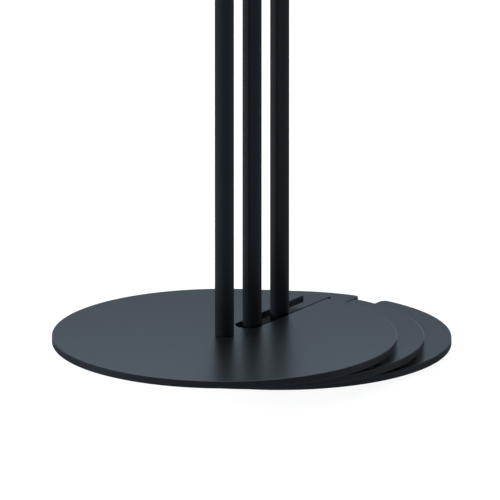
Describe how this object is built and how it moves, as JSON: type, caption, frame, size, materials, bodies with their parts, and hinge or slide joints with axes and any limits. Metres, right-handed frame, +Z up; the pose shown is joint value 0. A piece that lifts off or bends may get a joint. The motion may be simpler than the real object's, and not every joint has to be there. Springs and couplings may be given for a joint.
{
  "type": "coat rack",
  "caption": "Nested stack of slim coat racks: round slotted base plates, slender poles standing in each other's slots, and upturned hook rods.",
  "frame": {"origin": "on the floor under the middle of the stack, which is the middle rack's pole axis", "axes": "+Z up, +Y along the slots towards their open mouths, +X across the slots, along the hook rods"},
  "size_m": [0.4, 0.5166, 1.6798],
  "materials": {
    "powder_coat": "satin black powder coat, very fine texture",
    "rubber": "matt black rubber",
    "zinc_steel": "zinc-plated steel",
    "black_plastic": "matt black moulded plastic"
  },
  "bodies": {
    "rack_bottom": {"bottom_base_plate": "powder_coat", "bottom_foot_front_left": "rubber", "bottom_foot_front_right": "rubber", "bottom_foot_back_left": "rubber", "bottom_foot_back_right": "rubber", "bottom_base_bolt": "zinc_steel", "bottom_pole_plug": "zinc_steel", "bottom_lower_pole": "powder_coat", "bottom_pole_joiner": "powder_coat", "bottom_upper_pole": "powder_coat", "bottom_top_cap": "black_plastic", "bottom_hook_rod_upper": "powder_coat", "bottom_hook_tip_upper_left": "rubber", "bottom_hook_tip_upper_right": "rubber", "bottom_hook_rod_centre": "powder_coat", "bottom_hook_tip_centre_left": "rubber", "bottom_hook_tip_centre_right": "rubber", "bottom_hook_rod_lower": "powder_coat", "bottom_hook_tip_lower_left": "rubber", "bottom_hook_tip_lower_right": "rubber"},
    "rack_middle": {"middle_base_plate": "powder_coat", "middle_foot_front_left": "rubber", "middle_foot_front_right": "rubber", "middle_foot_back_left": "rubber", "middle_foot_back_right": "rubber", "middle_base_bolt": "zinc_steel", "middle_pole_plug": "zinc_steel", "middle_lower_pole": "powder_coat", "middle_pole_joiner": "powder_coat", "middle_upper_pole": "powder_coat", "middle_top_cap": "black_plastic", "middle_hook_rod_upper": "powder_coat", "middle_hook_tip_upper_left": "rubber", "middle_hook_tip_upper_right": "rubber", "middle_hook_rod_centre": "powder_coat", "middle_hook_tip_centre_left": "rubber", "middle_hook_tip_centre_right": "rubber", "middle_hook_rod_lower": "powder_coat", "middle_hook_tip_lower_left": "rubber", "middle_hook_tip_lower_right": "rubber"},
    "rack_top": {"top_base_plate": "powder_coat", "top_foot_front_left": "rubber", "top_foot_front_right": "rubber", "top_foot_back_left": "rubber", "top_foot_back_right": "rubber", "top_base_bolt": "zinc_steel", "top_pole_plug": "zinc_steel", "top_lower_pole": "powder_coat", "top_pole_joiner": "powder_coat", "top_upper_pole": "powder_coat", "top_top_cap": "black_plastic", "top_hook_rod_upper": "powder_coat", "top_hook_tip_upper_left": "rubber", "top_hook_tip_upper_right": "rubber", "top_hook_rod_centre": "powder_coat", "top_hook_tip_centre_left": "rubber", "top_hook_tip_centre_right": "rubber", "top_hook_rod_lower": "powder_coat", "top_hook_tip_lower_left": "rubber", "top_hook_tip_lower_right": "rubber"}
  },
  "joints": [
    {"name": "middle_rack_slide", "type": "slide", "parent": "rack_bottom", "child": "rack_middle", "axis": [0, -1, 0], "range_m": [0, 0.155]},
    {"name": "top_rack_slide", "type": "slide", "parent": "rack_middle", "child": "rack_top", "axis": [0, -1, 0], "range_m": [0, 0.155]}
  ]
}
